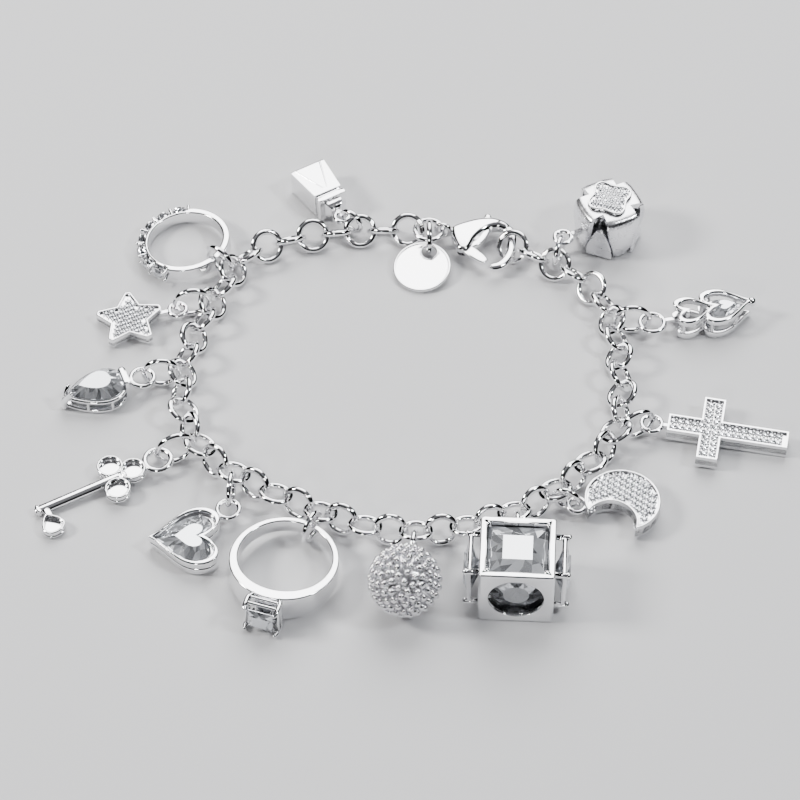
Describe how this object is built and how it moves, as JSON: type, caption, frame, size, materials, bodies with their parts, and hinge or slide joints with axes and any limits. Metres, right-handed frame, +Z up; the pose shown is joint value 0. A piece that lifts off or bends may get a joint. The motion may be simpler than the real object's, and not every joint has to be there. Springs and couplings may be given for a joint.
{
  "type": "charm bracelet",
  "caption": "Silver charm bracelet laid in a loop: round-link chain, lobster clasp with a sprung lever, a bare round tag and hanging charms, some set with clear stones.",
  "frame": {"origin": "centre of the footprint of the bracelet, on the table it lies on", "axes": "+Z up from the table, +X along the longest side of the loop with its charms, +Y away from the camera, towards the clasp"},
  "size_m": [0.103, 0.0838, 0.0101],
  "materials": {
    "silver": "polished silver plate",
    "grained_silver": "granulated silver plate",
    "crystal": "cut clear crystal"
  },
  "bodies": {
    "bracelet": {"chain_a": "silver", "chain_b": "silver", "clasp_body": "silver", "clasp_ring": "silver", "tag_ring": "silver", "tag": "silver", "flower_ring": "silver", "flower": "silver", "hearts_ring": "silver", "hearts": "silver", "hearts_stone": "crystal", "cross_ring": "silver", "cross": "silver", "moon_ring": "silver", "moon": "silver", "cube_ring": "silver", "cube": "silver", "cube_top_stone": "crystal", "cube_left_stone": "crystal", "cube_right_stone": "crystal", "cube_window_stone": "crystal", "ball_ring": "silver", "ball": "grained_silver", "solitaire_ring": "silver", "solitaire": "silver", "solitaire_stone": "crystal", "heart_ring": "silver", "heart": "silver", "heart_stone": "crystal", "key_ring": "silver", "key": "silver", "pear_ring": "silver", "pear": "silver", "pear_stone": "crystal", "star_ring": "silver", "star": "silver", "eternity_ring": "silver", "eternity": "silver", "eternity_stone_1": "crystal", "eternity_stone_2": "crystal", "eternity_stone_3": "crystal", "eternity_stone_4": "crystal", "eternity_stone_5": "crystal", "eternity_stone_6": "crystal", "eternity_stone_7": "crystal", "bar_ring": "silver", "bar": "silver"},
    "lever": {"clasp_lever": "silver"}
  },
  "joints": [
    {"name": "lever_pivot", "type": "hinge", "parent": "bracelet", "child": "lever", "pos_m": [0.00702, 0.02632, 0.00191], "axis": [0, 0, 1], "range_deg": [0, 14], "stiffness_Nm_per_rad": 0.004, "springref_deg": -20.05}
  ]
}
